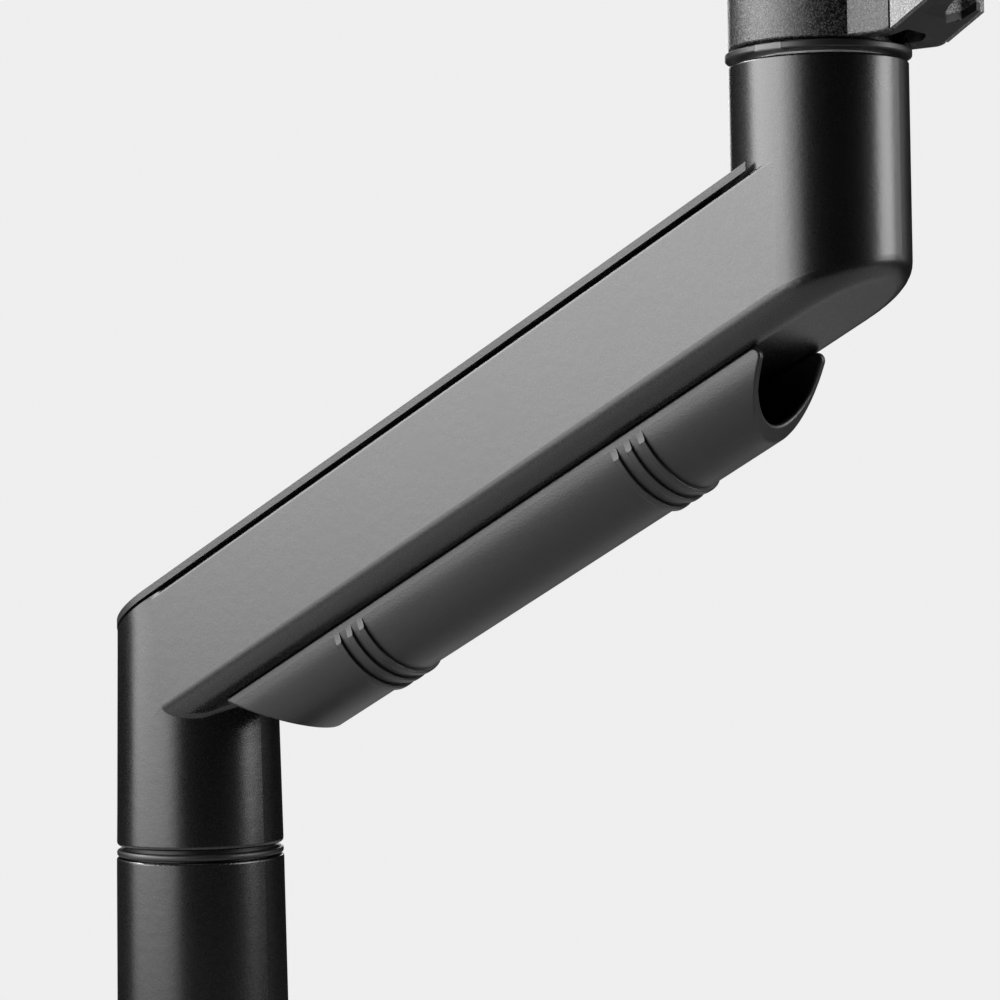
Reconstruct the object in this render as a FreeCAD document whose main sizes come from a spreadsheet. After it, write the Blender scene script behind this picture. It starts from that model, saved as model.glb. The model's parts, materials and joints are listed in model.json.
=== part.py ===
"""Desk-clamped monitor arm with a sloping link, a spring arm and a tilting screen plate.

Millimetres, +Z up.  The origin is on the desk top, under the post's axis.  +X runs from the
post along the link and the arm, which lie in one line at rest, to the screen plate's face.
"""
import FreeCAD, Part
import os
import re
import Sketcher
from FreeCAD import Placement, Rotation, Vector

# Driving dimensions: alias, value, meaning.
DIMENSIONS = [
    ("pad_thick", 1.5, "soft pad under the base plate"),
    ("plate_thick", 10, "base plate"),
    ("plate_rear", -50, "rear edge of the base plate, where the bracket is bolted"),
    ("plate_front", 46, "front edge of the base plate"),
    ("plate_half_width", 38, "base plate, half its width"),
    ("jaw_thick", 6, "steel of the clamp bracket"),
    ("jaw_half_width", 30, "clamp bracket, half its width"),
    ("jaw_floor", -92, "underside of the lower jaw"),
    ("jaw_front", 16, "front end of the lower jaw"),
    ("clamp_place", -8, "clamp screw's axis along X"),
    ("desk_gap", 40, "clamp opening at rest"),
    ("clamp_screw_radius", 5, "clamp screw"),
    ("running_gap", 0.06, "radial clearance of everything that turns"),
    ("post_foot_radius", 24.75, "post at the base plate"),
    ("post_tip_radius", 23.45, "post at its top"),
    ("post_tip", 127.25, "top of the post"),
    ("post_bore", 16, "hollow of the post"),
    ("spindle_radius", 9, "spindle that the link turns on"),
    ("spindle_seat", 92, "underside of the boss that holds the spindle"),
    ("spindle_shoulder", 172, "end of the spindle's plain part"),
    ("ring_floor", 127.65, "lower ring's lip, underside"),
    ("ring_roof", 129.5, "lower ring's lip, top"),
    ("hub_floor", 130.6, "underside of the link's lower hub"),
    ("hub_foot_radius", 23.35, "lower hub at its underside"),
    ("hub_draft", 1.03, "draft angle of the lower hub"),
    ("link_level", 140, "height from which the sloping faces are measured at X = 0"),
    ("link_reach", 203.2, "distance between the link's two upright axes"),
    ("link_slope", 27.54, "slope of the link"),
    ("link_half_width", 21.9, "beam and upper hub, half their width"),
    ("beam_floor", 19.77, "beam's underside above link_level"),
    ("beam_roof", 59.2, "beam's top edge above link_level"),
    ("beam_wall", 4, "walls of the beam"),
    ("beam_round", 7, "rounding along the beam's underside"),
    ("beam_edge_round", 1.1, "rounding along the beam's top edges"),
    ("lid_floor", 60.1, "lid's underside above link_level"),
    ("lid_roof", 62.2, "lid's top above link_level"),
    ("lid_half_width", 22.4, "lid, half its width"),
    ("sleeve_radius", 12, "outside of the lower sleeve"),
    ("upper_hub_roof", 328.9, "top of the link's upper hub"),
    ("upper_sleeve_radius", 13, "outside of the upper sleeve"),
    ("upper_sleeve_floor", 285.5, "bottom of the upper sleeve"),
    ("cover_radius", 16.15, "cable cover, outside"),
    ("cover_wall", 2.18, "cable cover's wall"),
    ("cover_axis", 15.36, "centre of the cover's round, square to the slope"),
    ("cover_floor", 1.7, "how much thicker the cover is along its bottom"),
    ("cover_floor_radius", 16, "round of the trough's bottom"),
    ("cover_top", 17.45, "upper edges of the cover"),
    ("cover_start", 35.4, "lower end of the cover's upper edge, along the slope"),
    ("cover_end", 230.3, "upper end of the cover's upper edge, along the slope"),
    ("rib_width", 1.9, "grip rib on the cover"),
    ("rib_rise", 1.0, "height of a grip rib"),
    ("rib_pitch", 4.35, "distance between grip ribs"),
    ("rib_tip", 11.4, "where a grip rib begins to fade out, square to the slope"),
    ("lower_ribs", 79.25, "first rib of the lower group, along the slope"),
    ("upper_ribs", 179.55, "first rib of the upper group, along the slope"),
    ("arm_spindle_radius", 10, "spindle of the spring arm's shoulder"),
    ("stop_ring_radius", 22.7, "upper ring"),
    ("stop_ring_floor", 330.0, "upper ring's underside"),
    ("stop_ring_roof", 331.8, "upper ring's top"),
    ("shoulder_radius", 21.9, "round of the shoulder"),
    ("shoulder_floor", 332.4, "underside of the shoulder"),
    ("shoulder_roof", 378, "top of the shoulder"),
    ("lug_half_width", 14.6, "lug in front of the shoulder, half its width"),
    ("lug_front", 27.2, "front face of the lug"),
    ("cheek_rear", 27.7, "rear face of the pivot bracket"),
    ("cheek_front", 37.5, "front face of the pivot bracket's foot"),
    ("cheek_slot", 8, "slot in the pivot bracket, half its width"),
    ("slope_start", 26.4, "where the shoulder's underside begins to rise"),
    ("shoulder_slope", 32.5, "slope of the shoulder's underside"),
    ("shoulder_round", 6, "rounding where the underside begins to rise"),
    ("key_place", 38.6, "key hole in the under cover, in front of the shoulder's axis"),
    ("key_offset", 4.8, "key hole's distance from the middle plane"),
    ("key_radius", 6.2, "key hole, across its corners"),
    ("under_cover_thick", 2, "under cover"),
    ("pivot_place", 38, "rear pivots in front of the shoulder's axis"),
    ("pivot_level", 360, "height of the lower pivots"),
    ("pivot_rise", 30, "upper pivots above the lower ones"),
    ("arm_span", 290, "distance between rear and front pivots"),
    ("pin_radius", 5, "pivot pins"),
    ("bush_radius", 6.5, "outside of the pivot bushes"),
    ("channel_inside", 17.6, "lower arm, half its inside width"),
    ("channel_outside", 21, "lower arm, half its outside width"),
    ("channel_round", 14, "rounded ends of the lower arm"),
    ("channel_rise", 10, "lower arm's sides above the pivots"),
    ("top_inside", 21.6, "upper arm, half its inside width"),
    ("top_outside", 24, "upper arm, half its outside width"),
    ("top_skirt", 22, "upper arm's sides below its pivots"),
    ("top_web", 8, "upper arm's web above its pivots"),
    ("anchor_rise", 20, "spring's pull point above the lower pivot"),
    ("anchor_pin_radius", 2.5, "pin at the spring's pull point"),
    ("spring_dip", 6.04, "angle of the pull rod to the lower arm"),
    ("spring_stop", 60, "fixed end of the spring, along the rod"),
    ("spring_length", 114, "spring at rest"),
    ("coil_radius", 9, "spring, to the middle of its wire"),
    ("wire_radius", 1.5, "spring wire"),
    ("coil_pitch", 7.6, "spring pitch"),
    ("pull_rod_radius", 3.5, "pull rod"),
    ("pan_place", 26, "pan axis in front of the front pivots"),
    ("pan_radius", 8, "pan spindle"),
    ("boss_radius", 15, "boss round the pan spindle"),
    ("boss_floor", 351, "underside of the boss"),
    ("boss_roof", 388, "top of the boss"),
    ("tilt_place", 32, "tilt axis in front of the pan axis"),
    ("tilt_level", 343, "height of the tilt axis"),
    ("tilt_radius", 4, "tilt bolt"),
    ("knuckle_radius", 9.5, "rounded knuckle on the tilt axis"),
    ("ear_inside", 10.2, "yoke ears, half the distance between them"),
    ("ear_outside", 15, "yoke ears, half their outside distance"),
    ("rotor_place", 20, "front face of the tilt block, from the tilt axis"),
    ("rotor_radius", 24, "turning carrier behind the screen plate"),
    ("screen_place", 33, "rear face of the screen plate, from the tilt axis"),
    ("screen_thick", 3, "screen plate"),
    ("screen_half", 59, "screen plate, half its side"),
    ("hole_radius", 2.25, "holes for the screen's M4 screws"),
    ("wide_pattern", 50, "half of the 100 mm hole pattern"),
    ("narrow_pattern", 37.5, "half of the 75 mm hole pattern"),
]

doc = FreeCAD.newDocument("monitor_arm")
sheet = doc.addObject("Spreadsheet::Sheet", "dims")
for row, (alias, value, meaning) in enumerate(DIMENSIONS, start=1):
    sheet.set(f"A{row}", str(value))
    sheet.setAlias(f"A{row}", alias)
    sheet.set(f"B{row}", meaning)
doc.recompute()

ALIASES = re.compile(r"\b(" + "|".join(alias for alias, _, _ in DIMENSIONS) + r")\b")
AIMED = {"Z": Rotation(), "X": Rotation(Vector(0, 1, 0), 90), "Y": Rotation(Vector(1, 0, 0), -90)}
EVERYWHERE = 400
nodes = []


# ---------------------------------------------------------------- helpers

def formula(text):
    """An expression in which each alias is written with its sheet's name."""
    return ALIASES.sub(r"dims.\1", str(text))


def number(text):
    """The value of such an expression."""
    return float(sheet.evalExpression(formula(text)))


def bind(item, **sizes):
    """Tie an object's properties to expressions."""
    for size, text in sizes.items():
        item.setExpression(size.replace("__", "."), formula(text))
    return item


def block(x, y, z):
    """A box between two values on each axis."""
    item = doc.addObject("Part::Box", "Block")
    spans = {"Length": x, "Width": y, "Height": z}
    bind(item, **{size: f"({high}) - ({low})" for size, (low, high) in spans.items()})
    return bind(item, Placement__Base__x=x[0], Placement__Base__y=y[0], Placement__Base__z=z[0])


def beam_block(x, half_width, z):
    """A box that is symmetric about the XZ plane."""
    return block(x, (f"-({half_width})", half_width), z)


def rod(radius, span, centre=(0, 0), along="Z"):
    """A cylinder over a span of one axis; centre is its place on the other two."""
    item = doc.addObject("Part::Cylinder", "Rod")
    item.Placement = Placement(Vector(), AIMED[along])
    places = dict(zip([axis for axis in "XYZ" if axis != along], centre))
    places[along] = span[0]
    bind(item, Radius=radius, Height=f"({span[1]}) - ({span[0]})")
    return bind(item, Placement__Base__x=places["X"], Placement__Base__y=places["Y"],
                Placement__Base__z=places["Z"])


def cone(radii, span, centre=(0, 0)):
    """An upright cone with its first radius at the start of the span."""
    item = doc.addObject("Part::Cone", "Cone")
    bind(item, Radius1=radii[0], Radius2=radii[1], Height=f"({span[1]}) - ({span[0]})")
    return bind(item, Placement__Base__x=centre[0], Placement__Base__y=centre[1],
                Placement__Base__z=span[0])


def hexagon(circumradius, span, centre=(0, 0), along="Z"):
    """A hexagonal bar over a span of one axis."""
    item = doc.addObject("Part::Prism", "Hexagon")
    item.Polygon = 6
    item.Placement = Placement(Vector(), AIMED[along])
    places = dict(zip([axis for axis in "XYZ" if axis != along], centre))
    places[along] = span[0]
    bind(item, Circumradius=circumradius, Height=f"({span[1]}) - ({span[0]})")
    return bind(item, Placement__Base__x=places["X"], Placement__Base__y=places["Y"],
                Placement__Base__z=places["Z"])


def fuse(*items):
    joined = doc.addObject("Part::MultiFuse", "Fuse")
    joined.Shapes = list(items)
    joined.Refine = True
    return joined


def common(*items):
    shared = doc.addObject("Part::MultiCommon", "Common")
    shared.Shapes = list(items)
    return shared


def cut(base, *tools):
    """The base with every tool taken away."""
    rest = doc.addObject("Part::Cut", "Cut")
    rest.Base = base
    rest.Tool = tools[0] if len(tools) == 1 else fuse(*tools)
    return rest


def mirrored(maker):
    """The same solid on both sides of the XZ plane; maker takes the side, 1 or -1."""
    return [maker(side) for side in (1, -1)]


def side_rod(radius, near, far, centre, side):
    """A rod along Y between two distances from the XZ plane, on one side of it."""
    span = (near, far) if side > 0 else (f"-({far})", f"-({near})")
    return rod(radius, span, centre, along="Y")


def new_sketch(body, role, name="Outline"):
    sketch = body.newObject("Sketcher::SketchObject", name)
    plane = next(item for item in body.Origin.OriginFeatures if item.Role == role)
    sketch.AttachmentSupport = (plane, [""])
    sketch.MapMode = "FlatFace"
    return sketch


def outlined(sketch, corners):
    """A closed outline whose corners are tied to expressions."""
    points = [Vector(number(across), number(up), 0) for across, up in corners]
    for index, point in enumerate(points):
        following = points[(index + 1) % len(points)]
        sketch.addGeometry(Part.LineSegment(point, following), False)
    for index in range(len(points)):
        following = (index + 1) % len(points)
        sketch.addConstraint(Sketcher.Constraint("Coincident", index, 2, following, 1))
    for index, (corner, point) in enumerate(zip(corners, points)):
        for kind, text, value in (("DistanceX", corner[0], point.x), ("DistanceY", corner[1], point.y)):
            made = sketch.addConstraint(Sketcher.Constraint(kind, -1, 1, index, 1, value))
            sketch.setExpression(f"Constraints[{made}]", formula(text))
    return sketch


def circled(sketch, radius, centres):
    """Equal circles whose radius and centres are tied to expressions."""
    for across, up in centres:
        centre = Vector(number(across), number(up), 0)
        made = sketch.addGeometry(Part.Circle(centre, Vector(0, 0, 1), number(radius)), False)
        ties = [("Radius", (made, number(radius)), radius),
                ("DistanceX", (-1, 1, made, 3, centre.x), across),
                ("DistanceY", (-1, 1, made, 3, centre.y), up)]
        for kind, place, text in ties:
            tie = sketch.addConstraint(Sketcher.Constraint(kind, *place))
            sketch.setExpression(f"Constraints[{tie}]", formula(text))
    return sketch


def profile(corners, width):
    """A side outline in the XZ plane, padded to both sides of it."""
    body = doc.addObject("PartDesign::Body", "Profile")
    pad = body.newObject("PartDesign::Pad", "Pad")
    pad.Profile = outlined(new_sketch(body, "XZ_Plane"), corners)
    pad.SideType = "Symmetric"
    bind(pad, Length=width)
    return body


def turned(corners, rounded=()):
    """A body turned about the Z axis; rounded gives (radius, height, size) of its round edges."""
    body = doc.addObject("PartDesign::Body", "Turned")
    spin = body.newObject("PartDesign::Revolution", "Turn")
    sketch = outlined(new_sketch(body, "XZ_Plane"), corners)
    spin.Profile = sketch
    spin.ReferenceAxis = (sketch, ["V_Axis"])
    spin.Angle = 360
    doc.recompute()
    for radius, height, size in rounded:
        edges = [f"Edge{index}" for index, edge in enumerate(body.Shape.Edges, start=1)
                 if isinstance(edge.Curve, Part.Circle)
                 and abs(edge.Curve.Radius - number(radius)) < 0.01
                 and abs(edge.Curve.Center.z - number(height)) < 0.01]
        sharp = body.Tip
        round_edge = body.newObject("PartDesign::Fillet", "Round")
        round_edge.Base = (sharp, edges)
        bind(round_edge, Radius=size)
        body.Tip = round_edge
        doc.recompute()
    return body


def rounded(base, *choices):
    """Round the edges that each (test, radius) picks; a test is true at every point of an edge."""
    doc.recompute()
    picked = []
    for index, edge in enumerate(base.Shape.Edges, start=1):
        first, last = edge.ParameterRange
        points = [edge.valueAt(first + (last - first) * part / 8) for part in range(9)]
        for test, radius in choices:
            if edge.Length > 0.5 and all(test(point) for point in points):
                picked.append((index, number(radius), number(radius)))
                break
    round_edges = doc.addObject("Part::Fillet", "Round")
    round_edges.Base = base
    round_edges.Edges = picked
    return round_edges


def at_level(point, *levels):
    """Whether a point is at one of some heights."""
    return any(abs(point.z - number(level)) < 0.01 for level in levels)


def at_side(point, distance):
    """Whether a point is at a distance from the XZ plane, on either side."""
    return abs(abs(point.y) - number(distance)) < 0.01


def framed(item, frame):
    """Put a finished piece in its group's frame: an offset and a turn about Y."""
    offset, angle = frame
    item.Placement = Placement(Vector(), Rotation(Vector(0, 1, 0), 1))
    bind(item, Placement__Base__x=offset[0], Placement__Base__y=offset[1],
         Placement__Base__z=offset[2], Placement__Rotation__Angle=angle)
    return item


def keep(name, *items, frame=None):
    """Make a named sub-part of one or more solids."""
    if len(items) == 1 and not items[0].ExpressionEngine and items[0].Placement.isIdentity():
        item = items[0]
    else:
        item = doc.addObject("Part::Compound", "Group")
        item.Links = list(items)
    if frame:
        framed(item, frame)
    item.Label = name
    nodes.append(item)
    return item


ARM = (("link_reach", 0, 0), 0)
COVER = ((0, 0, "link_level"), "-link_slope")
SPRING = (("link_reach + pivot_place", 0, "pivot_level + anchor_rise"), "spring_dip")


def on_slope(height, x):
    """Height of a face parallel to the link's slope."""
    return f"link_level + ({height}) + ({x}) * tan(link_slope)"


def between_slopes(low, high, x, width):
    """A slab parallel to the link's slope."""
    start, end = x
    return profile([(start, on_slope(low, start)), (end, on_slope(low, end)),
                    (end, on_slope(high, end)), (start, on_slope(high, start))], width)


# ---------------------------------------------------------------- desk clamp and post

def desk_clamp():
    pad = rounded(beam_block(("plate_rear + 1", "plate_front - 1"), "plate_half_width - 1",
                             (0, "pad_thick")),
                  (lambda point: abs(abs(point.y) - number("plate_half_width - 1")) < 0.01
                   and point.x in (number("plate_rear + 1"), number("plate_front - 1")), 10))
    keep("base_pad", pad)

    plate_top = "pad_thick + plate_thick"
    plate = beam_block(("plate_rear", "plate_front"), "plate_half_width", ("pad_thick", plate_top))
    front = number("plate_front")
    plate = rounded(plate, (lambda point: abs(point.x - front) < 0.01
                            and abs(abs(point.y) - number("plate_half_width")) < 0.01, 12))
    plate = rounded(plate, (lambda point: abs(point.z - number(plate_top)) < 0.01, 1.5))
    keep("base_plate", cut(plate, *post_screw_set(), *bracket_bolt_shanks("plate_rear")))

    rear = "plate_rear - jaw_thick"
    jaw_top = "jaw_floor + jaw_thick"
    bracket = profile([(rear, "jaw_floor"), ("jaw_front", "jaw_floor"), ("jaw_front", jaw_top),
                       ("plate_rear", jaw_top), ("plate_rear", plate_top), (rear, plate_top)],
                      "2 * jaw_half_width")
    gussets = profile([("plate_rear", jaw_top), ("plate_rear + 20", jaw_top),
                       ("plate_rear", "jaw_floor + 34")], "2 * jaw_half_width")
    gap = beam_block(("plate_rear", "jaw_front"), "jaw_half_width - 4", (jaw_top, "jaw_floor + 40"))
    boss = rod(12, ("jaw_floor - 7", "jaw_floor + 9"), ("clamp_place", 0))
    thread = rod("clamp_screw_radius + running_gap", ("jaw_floor - 8", "jaw_floor + 10"),
                 ("clamp_place", 0))
    body = fuse(bracket, cut(gussets, gap), boss)
    body = rounded(body, (lambda point: at_side(point, "jaw_half_width")
                          and (abs(point.x - number("jaw_front")) < 0.01
                               or at_level(point, plate_top)), 2.5),
                   (lambda point: abs(point.x - number(rear)) < 0.01 and at_level(point, "jaw_floor"), 5))
    keep("clamp_bracket", cut(body, thread, *bracket_bolt_shanks(rear, "3.3")))
    heads = [rod(5.2, (f"{rear} - 3.5", rear), (y, "pad_thick + plate_thick / 2"), "X") for y in (20, -20)]
    shanks = bracket_bolt_shanks(rear)
    keep("bracket_bolts", *[fuse(head, shank) for head, shank in zip(heads, shanks)])

    grip = "-desk_gap"
    presser = turned([(0, f"{grip} - 6"), ("clamp_screw_radius + running_gap", f"{grip} - 6"),
                      ("clamp_screw_radius + running_gap", f"{grip} - 14"), (9, f"{grip} - 14"),
                      (9, f"{grip} - 6"), (22, f"{grip} - 5"), (22, grip), (0, grip)],
                     [(22, grip, 1)])
    keep("pressure_plate", presser, frame=(("clamp_place", 0, 0), 0))
    keep("clamp_screw", turned([(0, -150), ("clamp_screw_radius", -150),
                                ("clamp_screw_radius", f"{grip} - 7"),
                                ("clamp_screw_radius - 1", f"{grip} - 6.1"), (0, f"{grip} - 6.1")]),
         frame=(("clamp_place", 0, 0), 0))
    keep("clamp_knob", knob(), frame=(("clamp_place", 0, 0), 0))


def bracket_bolt_shanks(start, radius="3"):
    """The two bolts that hold the bracket to the base plate's rear edge."""
    return [rod(radius, (start, "plate_rear + 13"), (y, "pad_thick + plate_thick / 2"), "X")
            for y in (20, -20)]


def knob():
    """A round grip with finger hollows, made as a body with a polar pattern."""
    body = turned([("clamp_screw_radius", -152), (19, -152), (19, -136), (10, -132),
                   ("clamp_screw_radius", -132)], [(19, -152, 2), (19, -136, 2)])
    pocket = body.newObject("PartDesign::Pocket", "Hollow")
    pocket.Profile = circled(new_sketch(body, "XY_Plane", "HollowOutline"), 5, [(21.5, 0)])
    pocket.SideType = "Symmetric"
    bind(pocket, Length=EVERYWHERE)
    body.Tip = pocket
    hollows = body.newObject("PartDesign::PolarPattern", "Hollows")
    hollows.Originals = [pocket]
    hollows.Axis = (pocket.Profile[0], ["N_Axis"])
    hollows.Angle = 360
    hollows.Occurrences = 7
    body.Tip = hollows
    return body


def post_screw_set():
    """Three countersunk screws through the base plate into the foot of the post."""
    screws = []
    for across, up in ((20.4, 0), (-10.2, 17.667), (-10.2, -17.667)):
        head = cone((4.9, 2.5), ("pad_thick", "pad_thick + 2.4"), (across, up))
        screws.append(fuse(head, rod(2.5, ("pad_thick", 28), (across, up))))
    return screws


def post():
    foot = "pad_thick + plate_thick"
    shell = turned([("post_bore", foot), ("post_foot_radius", foot), ("post_tip_radius", "post_tip"),
                    ("spindle_radius", "post_tip"), ("spindle_radius", "spindle_seat"),
                    ("post_bore", "spindle_seat")], [("post_tip_radius", "post_tip", 0.7)])
    keep("post", cut(shell, *post_screw_set()))
    keep("post_screws", *post_screw_set())
    keep("post_spindle", turned([(0, "spindle_seat - 8"), ("post_bore - 0.5", "spindle_seat - 8"),
                                 ("post_bore - 0.5", "spindle_seat"), ("spindle_radius", "spindle_seat"),
                                 ("spindle_radius", "spindle_shoulder"),
                                 ("spindle_radius - 1", "spindle_shoulder"),
                                 ("spindle_radius - 1", "spindle_shoulder + 14"),
                                 (0, "spindle_shoulder + 14")]))
    washer = cut(rod(15.5, ("spindle_shoulder + 0.15", "spindle_shoulder + 2.3")),
                 rod("spindle_radius - 1", (0, EVERYWHERE)))
    nut = cut(hexagon(14, ("spindle_shoulder + 2.3", "spindle_shoulder + 11")),
              rod("spindle_radius - 1", (0, EVERYWHERE)))
    keep("spindle_nut", washer, nut)
    lip = "post_tip_radius - 0.1"
    keep("lower_ring", turned([(17.5, "post_tip"), (21.2, "post_tip"), (21.2, "ring_floor"),
                               (lip, "ring_floor"), (lip, "ring_roof"), (21, "ring_roof"),
                               (21, "hub_floor - 0.1"), (17.5, "hub_floor - 0.1")],
                              [(lip, "ring_floor", 0.8), (lip, "ring_roof", 0.8)]))


# ---------------------------------------------------------------- link

def link():
    far = "link_reach + 60"
    above = between_slopes("beam_roof", "beam_roof + 200", (-60, far), 200)
    below = between_slopes("beam_floor - 250", "beam_floor", (-60, far), 200)
    hub_height = "link_level + beam_roof + 10 - hub_floor"
    lower_hub = cone(("hub_foot_radius", f"hub_foot_radius - ({hub_height}) * tan(hub_draft)"),
                     ("hub_floor", f"hub_floor + ({hub_height})"))
    upper_hub = rod("link_half_width", ("link_level + 90", "upper_hub_roof"), ("link_reach", 0))
    beam = between_slopes("beam_floor", "beam_roof", (0, "link_reach"), "2 * link_half_width")
    slope = number("tan(link_slope)")
    roof_level = number("link_level + beam_roof")
    beam = rounded(beam, (lambda point: abs(point.z - roof_level - point.x * slope) < 0.01
                          and at_side(point, "link_half_width"), "beam_edge_round"))
    outside = fuse(beam, cut(lower_hub, above), cut(upper_hub, below))

    floor_level = number("link_level + beam_floor")
    foot_radius = number("hub_foot_radius")
    draft = number("tan(hub_draft)")

    def on_floor(point):
        return abs(point.z - floor_level - point.x * slope) < 0.01

    def on_lower_hub(point):
        radius = foot_radius - draft * (point.z - number("hub_floor"))
        return abs((point.x ** 2 + point.y ** 2) ** 0.5 - radius) < 0.02

    outside = rounded(outside,
                      (lambda point: on_floor(point) and not on_lower_hub(point), "beam_round"),
                      (lambda point: abs(point.z - number("upper_hub_roof")) < 0.01, 0.7),
                      (lambda point: abs(point.z - number("hub_floor")) < 0.01, 1.1))
    outside = rounded(outside, (lambda point: on_floor(point) and on_lower_hub(point), 1.8))

    hollow = common(between_slopes("beam_floor + beam_wall", "beam_roof + 60",
                                   ("sleeve_radius + 11", "link_reach - upper_sleeve_radius - 12"),
                                   "2 * (link_half_width - beam_wall)"),
                    beam_block((0, "link_reach"), "link_half_width - beam_wall", (100, EVERYWHERE)))
    sleeve_bore = rod("sleeve_radius", ("hub_floor - 5", "spindle_shoulder + 5"))
    nut_bore = rod(16.2, ("spindle_shoulder", "link_level + beam_roof + 30"))
    upper_bore = rod("upper_sleeve_radius", ("upper_sleeve_floor", "upper_hub_roof + 5"),
                     ("link_reach", 0))
    keep("link_casting", cut(outside, hollow, sleeve_bore, nut_bore, upper_bore))

    lid_plan = fuse(rod("lid_half_width", (100, 400)),
                    beam_block((0, "link_reach - 7.7"), "lid_half_width", (100, 400)))
    lid = common(lid_plan, between_slopes("lid_floor", "lid_roof", (-60, far), 200))
    lid = cut(lid, rod("link_half_width + 1.4", (100, 400), ("link_reach", 0)))
    keep("link_lid", lid)
    keep("lid_clips", *[lid_clip(x) for x in (40, 95, 150)])

    keep("lower_sleeve", ring("spindle_radius + running_gap", "sleeve_radius",
                              ("hub_floor", "spindle_shoulder")))
    keep("upper_sleeve", turned([("arm_spindle_radius + running_gap", "upper_sleeve_floor"),
                                 ("upper_sleeve_radius", "upper_sleeve_floor"),
                                 ("upper_sleeve_radius", "upper_hub_roof"), (17, "upper_hub_roof"),
                                 (17, "stop_ring_floor + 0.9"),
                                 ("arm_spindle_radius + running_gap", "stop_ring_floor + 0.9")]),
         frame=ARM)


def ring(inner, outer, span, centre=(0, 0), along="Z"):
    """A plain tube over a span of one axis."""
    return cut(rod(outer, span, centre, along), rod(inner, span, centre, along))


def lid_clip(x):
    """A pair of spring legs under the lid that grip the walls of the beam."""
    inside = "link_half_width - beam_wall"
    legs = common(between_slopes("lid_floor - 12", "lid_floor", (x, x + 8), f"2 * ({inside})"),
                  beam_block((x, x + 8), inside, (100, EVERYWHERE)))
    return cut(legs, between_slopes("lid_floor - 12", "lid_floor - 1.5", (x, x + 8),
                                    f"2 * ({inside} - 1.5)"))


def cable_cover():
    """A trough under the beam, square to the slope: X along the slope, Z square to it."""
    inner = "cover_radius - cover_wall"
    reach = ("cover_start", "cover_end")
    outside = fuse(rod("cover_radius", reach, (0, "cover_axis"), "X"),
                   beam_block(reach, "cover_radius", ("cover_axis", "cover_top")))
    bottom = f"cover_axis - ({inner}) + cover_floor"
    inside = fuse(common(rod(inner, reach, (0, "cover_axis"), "X"),
                         rod("cover_floor_radius", reach, (0, f"{bottom} + cover_floor_radius"), "X")),
                  beam_block(reach, inner, ("cover_axis", "cover_top + 30")),
                  beam_block(reach, 40, ("cover_top", "cover_top + 30")))
    depth = "cover_top - cover_axis + cover_radius + 3"
    lower_end = profile([("cover_start", "cover_top"), (f"cover_start + {depth}", f"cover_top - ({depth})"),
                         ("cover_start - 5", f"cover_top - ({depth})"), ("cover_start - 5", "cover_top")], 60)
    upper_end = profile([("cover_end", "cover_top"), (f"cover_end - ({depth})", f"cover_top - ({depth})"),
                         ("cover_end + 5", f"cover_top - ({depth})"), ("cover_end + 5", "cover_top")], 60)
    trough = cut(outside, inside, lower_end, upper_end)

    top, start, end = number("cover_top"), number("cover_start"), number("cover_end")

    def on_end(point):
        fall = top - point.z
        return abs(point.x - start - fall) < 0.01 or abs(point.x - end + fall) < 0.01

    trough = rounded(trough, (lambda point: abs(point.z - top) < 0.01 and abs(point.x - end) < 0.01, 2),
                     (lambda point: abs(point.z - top) < 0.01 and abs(point.x - start) < 0.01, 0.7))
    trough = rounded(trough, (on_end, 0.7))
    fade = "(cover_top - 1.9 - rib_tip)"
    slope_out = f"{fade} / rib_rise"
    rib_space = doc.addObject("PartDesign::Body", "RibSpace")
    pad = rib_space.newObject("PartDesign::Pad", "Pad")
    foot = f"rib_tip - (28 - cover_radius - rib_rise) * {slope_out}"
    crown = f"rib_tip + {fade} + 0.3 * {slope_out}"
    pad.Profile = outlined(new_sketch(rib_space, "YZ_Plane"),
                           [(-28, -30), (28, -30), (28, foot), ("cover_radius - 0.3", crown),
                            ("0.3 - cover_radius", crown), (-28, foot)])
    pad.SideType = "Symmetric"
    bind(pad, Length=2 * EVERYWHERE)
    ribs = []
    for first in ("lower_ribs", "upper_ribs"):
        for count in range(3):
            middle = f"{first} + {count} * rib_pitch"
            span = (f"{middle} - rib_width / 2", f"{middle} + rib_width / 2")
            hoop = rounded(ring("cover_radius - 0.6", "cover_radius + rib_rise", span,
                                (0, "cover_axis"), "X"),
                           (lambda point: abs((point.y ** 2 + (point.z - number("cover_axis")) ** 2) ** 0.5
                                              - number("cover_radius + rib_rise")) < 0.01, 0.35))
            ribs.append(common(hoop, rib_space))
    keep("cable_cover", fuse(trough, *ribs), frame=COVER)
    hooks = []
    for middle in (75, 195):
        span = (middle - 5, middle + 5)
        bridge = beam_block(span, f"{inner} - 0.15", ("cover_top - 3", "beam_floor * cos(link_slope)"))
        hooks.append(cut(bridge, beam_block(span, f"{inner} - 1.8", ("cover_top - 4", "cover_top - 1"))))
    keep("cover_clips", *hooks, frame=COVER)


# ---------------------------------------------------------------- shoulder of the spring arm

def shoulder_slope(height, x):
    """Height of a face parallel to the shoulder's rising underside."""
    return f"shoulder_floor + ({height}) + ({x} - slope_start) * tan(shoulder_slope)"


def below_shoulder():
    """The space under the shoulder, with its rising underside."""
    space = profile([(12, "shoulder_floor"), ("slope_start", "shoulder_floor"),
                     (80, shoulder_slope(0, 80)), (80, "shoulder_floor - 40"),
                     (12, "shoulder_floor - 40")], 200)
    return rounded(space, (lambda point: abs(point.x - number("slope_start")) < 0.01
                           and abs(point.z - number("shoulder_floor")) < 0.01, "shoulder_round"))


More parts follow.
